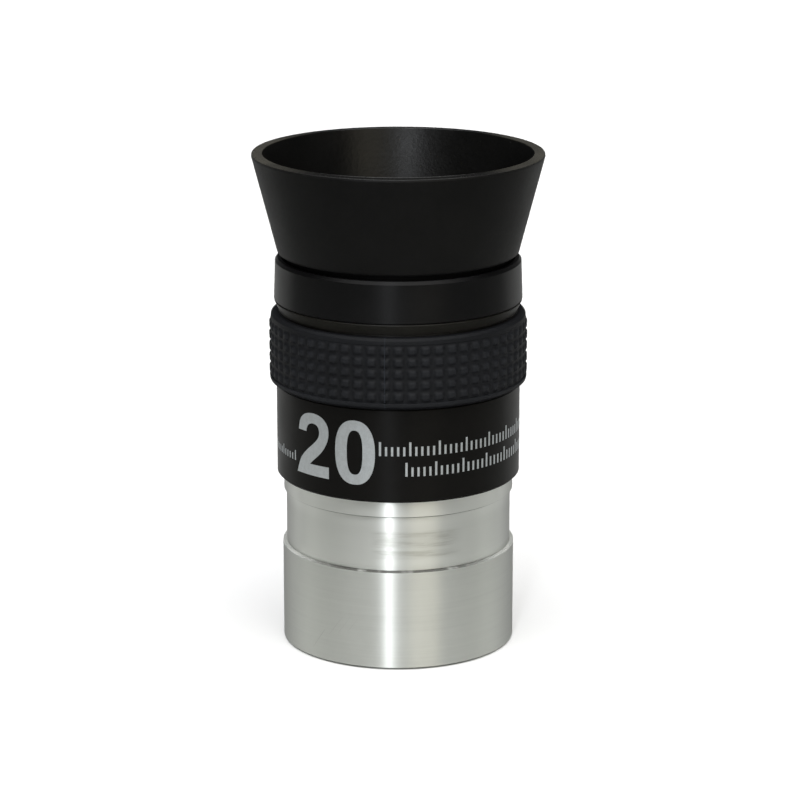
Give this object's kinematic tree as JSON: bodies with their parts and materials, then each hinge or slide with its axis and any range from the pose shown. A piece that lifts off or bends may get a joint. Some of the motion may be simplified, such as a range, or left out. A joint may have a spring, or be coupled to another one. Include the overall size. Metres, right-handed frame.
{
  "type": "telescope eyepiece",
  "caption": "Push-fit telescope eyepiece with a chromed barrel, black body, rubber grip and a flared rubber eyecup that a twist collar raises.",
  "frame": {"origin": "on the optical axis, in the plane of the barrel's lower rim", "axes": "+Z is the optical axis, from the telescope towards the eye; the printed number on the body faces -Y"},
  "size_m": [0.0394, 0.0394, 0.0677],
  "materials": {
    "barrel_chrome": "satin chrome with fine turning lines",
    "body_black": "black anodised, semi-gloss",
    "collar_black": "black anodised, satin",
    "inner_black": "matte black",
    "grip_rubber": "matte moulded rubber",
    "eyecup_rubber": "satin moulded rubber",
    "field_glass": "coated, cool reflection",
    "eye_glass": "coated, green reflection",
    "washer_plastic": "low-friction plastic"
  },
  "bodies": {
    "eyepiece_body": {"nose_barrel": "barrel_chrome", "field_group_cell": "inner_black", "field_concave_element": "field_glass", "field_meniscus_element": "field_glass", "field_group_retaining_ring": "inner_black", "field_stop_ring": "inner_black", "body_housing": "body_black", "grip_ring": "grip_rubber", "guide_sleeve": "collar_black", "sleeve_stop_ring": "inner_black", "lens_spacer_lower": "inner_black", "achromat_flint_element": "eye_glass", "achromat_crown_element": "eye_glass", "lens_spacer_upper": "inner_black", "eye_lens_element": "eye_glass", "eye_lens_retaining_ring": "inner_black"},
    "cup_carriage": {"eyecup_carrier": "inner_black", "eyecup": "eyecup_rubber"},
    "turning_collar": {"twist_collar": "collar_black", "collar_slip_washer": "washer_plastic", "collar_retaining_ring": "inner_black"}
  },
  "joints": [
    {"name": "eyecup_lift", "type": "slide", "parent": "eyepiece_body", "child": "cup_carriage", "axis": [0, 0, 1], "range_m": [0, 0.006]},
    {"name": "collar_twist", "type": "hinge", "parent": "cup_carriage", "child": "turning_collar", "pos_m": [0, 0, 0.0507], "axis": [0, 0, 1], "range_deg": [0, 105]}
  ],
  "couplings": [
    {"joint": "collar_twist", "follows": "eyecup_lift", "rad_per_m": 305.43}
  ]
}
